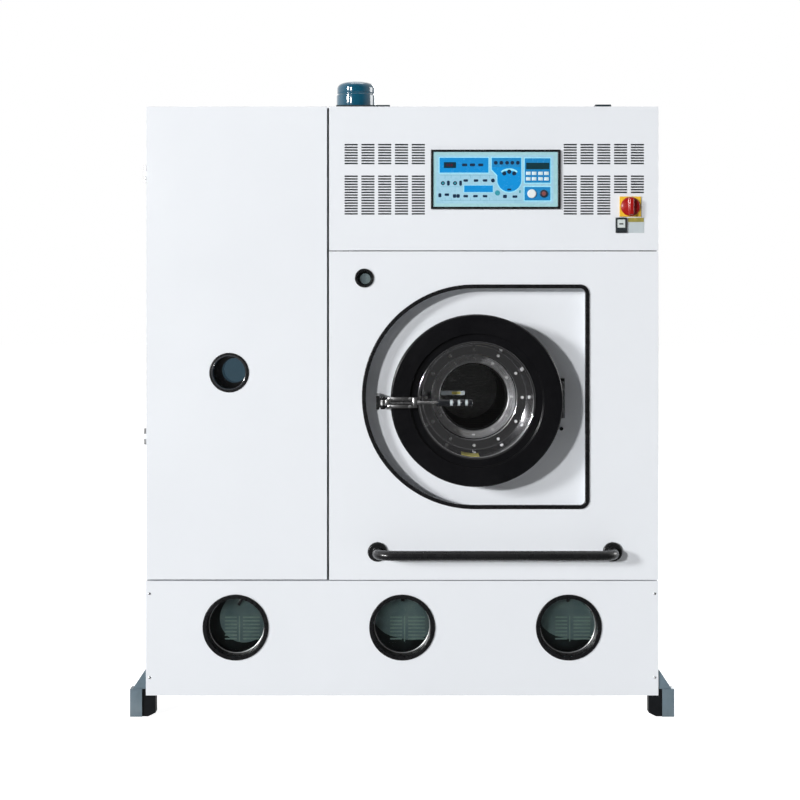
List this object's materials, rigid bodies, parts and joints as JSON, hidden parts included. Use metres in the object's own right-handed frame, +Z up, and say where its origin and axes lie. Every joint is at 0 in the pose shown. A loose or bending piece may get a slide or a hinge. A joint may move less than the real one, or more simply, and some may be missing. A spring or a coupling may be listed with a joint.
{
  "type": "dry cleaning machine",
  "caption": "Closed-circuit dry cleaning machine: white cabinet, round loading door in a D-shaped recess, service door, louvres, control panel and solvent tank windows.",
  "frame": {"origin": "middle of the footprint on the floor, under the feet", "axes": "+Z up, -Y towards the user (the front), +X to the right seen from the front"},
  "size_m": [1.784, 1.4685, 2.117],
  "materials": {
    "white_paint": "off-white powder coat, fine texture",
    "frame_paint": "grey primer on welded tube",
    "foot_paint": "slate grey paint",
    "zinc_sheet": "galvanised sheet",
    "bolt_steel": "bright zinc-plated steel",
    "black_rubber": "extruded black rubber",
    "stainless": "stainless sheet",
    "black_paint": "black semi-gloss powder coat",
    "black_plastic": "black moulded plastic",
    "clear_glass": "clear glass",
    "scale_plate": "grey-green scale plate with bare lines",
    "control_face": "printed film in two blues",
    "yellow_plastic": "yellow moulded plastic",
    "meter_black": "black moulded plastic",
    "bare_plate": "bare pale plate",
    "cast_paint": "grey painted casting",
    "motor_blue": "blue machine enamel",
    "belt_rubber": "black belt rubber",
    "pipe_steel": "plain steel",
    "dark_paint": "dark grey-green paint",
    "teal_paint": "glossy teal blue enamel",
    "ring_black": "black satin paint on a casting",
    "polished_steel": "polished stainless steel",
    "door_glass": "thick grey glass",
    "grip_black": "glossy black plastic",
    "pulley_iron": "turned casting",
    "red_plastic": "red moulded plastic",
    "button_white": "white moulded plastic",
    "button_dark": "dark moulded plastic"
  },
  "bodies": {
    "cabinet": {"base_frame": "frame_paint", "feet": "foot_paint", "upper_frame": "frame_paint", "left_side_panel": "white_paint", "right_side_panel": "white_paint", "rear_panel": "white_paint", "top_panel": "white_paint", "divider_panel": "zinc_sheet", "header_panel": "white_paint", "middle_panel": "white_paint", "lower_band": "white_paint", "band_screws": "bolt_steel", "door_trim": "black_rubber", "door_recess": "white_paint", "mouth_collar": "stainless", "loading_hinge_bracket": "black_paint", "latch_keeper": "black_paint", "handrail": "black_paint", "sight_bezel": "black_plastic", "sight_glasses": "clear_glass", "window_bezels": "black_rubber", "level_scales": "scale_plate", "solvent_tank": "stainless", "control_bezel": "black_plastic", "control_unit": "control_face", "switch_plate": "yellow_plastic", "hour_meter": "meter_black", "data_plate": "bare_plate", "tub": "stainless", "bearing_housing": "cast_paint", "drive_motor": "motor_blue", "drive_belt": "belt_rubber", "still_vessel": "stainless", "condenser": "stainless", "water_separator": "stainless", "filter_housing": "stainless", "solvent_pump": "motor_blue", "pipework": "pipe_steel", "air_duct": "zinc_sheet", "fan_box": "dark_paint", "fan_motor": "teal_paint", "cable_entry": "dark_paint", "service_hinges": "bolt_steel"},
    "service_door": {"service_door": "white_paint", "service_port_trim": "black_rubber"},
    "loading_door": {"loading_ring": "ring_black", "loading_gasket": "black_rubber", "loading_bowl": "polished_steel", "loading_bolts": "bolt_steel", "loading_glass_ring": "polished_steel", "loading_glass": "door_glass"},
    "latch": {"latch_lever": "bolt_steel", "latch_grip": "grip_black"},
    "drum": {"drum_cage": "stainless", "drum_shaft": "pipe_steel"},
    "motor_rotor": {"motor_pulley": "pulley_iron"},
    "fan": {"fan_impeller": "zinc_sheet"},
    "switch_knob": {"switch_knob": "red_plastic"},
    "start_button": {"start_button": "button_white"},
    "stop_button": {"stop_button": "button_dark"}
  },
  "joints": [
    {"name": "service_door_hinge", "type": "hinge", "parent": "cabinet", "child": "service_door", "pos_m": [-0.8435, -0.61175, 1.349], "axis": [0, 0, -1], "range_deg": [0, 110]},
    {"name": "loading_door_hinge", "type": "hinge", "parent": "cabinet", "child": "loading_door", "pos_m": [0.514, -0.64775, 1.041], "axis": [0, 0, 1], "range_deg": [0, 115]},
    {"name": "latch_pivot", "type": "hinge", "parent": "loading_door", "child": "latch", "pos_m": [-0.062, -0.72075, 1.036], "axis": [0, 0, -1], "range_deg": [0, 80]},
    {"name": "drum_spin", "type": "hinge", "parent": "cabinet", "child": "drum", "pos_m": [0.241, -0.25775, 1.041], "axis": [0, 1, 0], "continuous": true},
    {"name": "motor_spin", "type": "hinge", "parent": "cabinet", "child": "motor_rotor", "pos_m": [0.571, 0.12425, 0.589], "axis": [0, 1, 0], "continuous": true},
    {"name": "fan_spin", "type": "hinge", "parent": "cabinet", "child": "fan", "pos_m": [-0.158, -0.35075, 1.9], "axis": [0, 0, 1], "continuous": true},
    {"name": "main_switch_turn", "type": "hinge", "parent": "cabinet", "child": "switch_knob", "pos_m": [0.747, -0.62575, 1.672], "axis": [0, 1, 0], "range_deg": [0, 90]},
    {"name": "start_press", "type": "slide", "parent": "cabinet", "child": "start_button", "axis": [0, 1, 0], "range_m": [0, 0.003], "stiffness_N_per_m": 600},
    {"name": "stop_press", "type": "slide", "parent": "cabinet", "child": "stop_button", "axis": [0, 1, 0], "range_m": [0, 0.003], "stiffness_N_per_m": 600}
  ],
  "couplings": [
    {"joint": "motor_spin", "follows": "drum_spin", "ratio": 4.169}
  ]
}
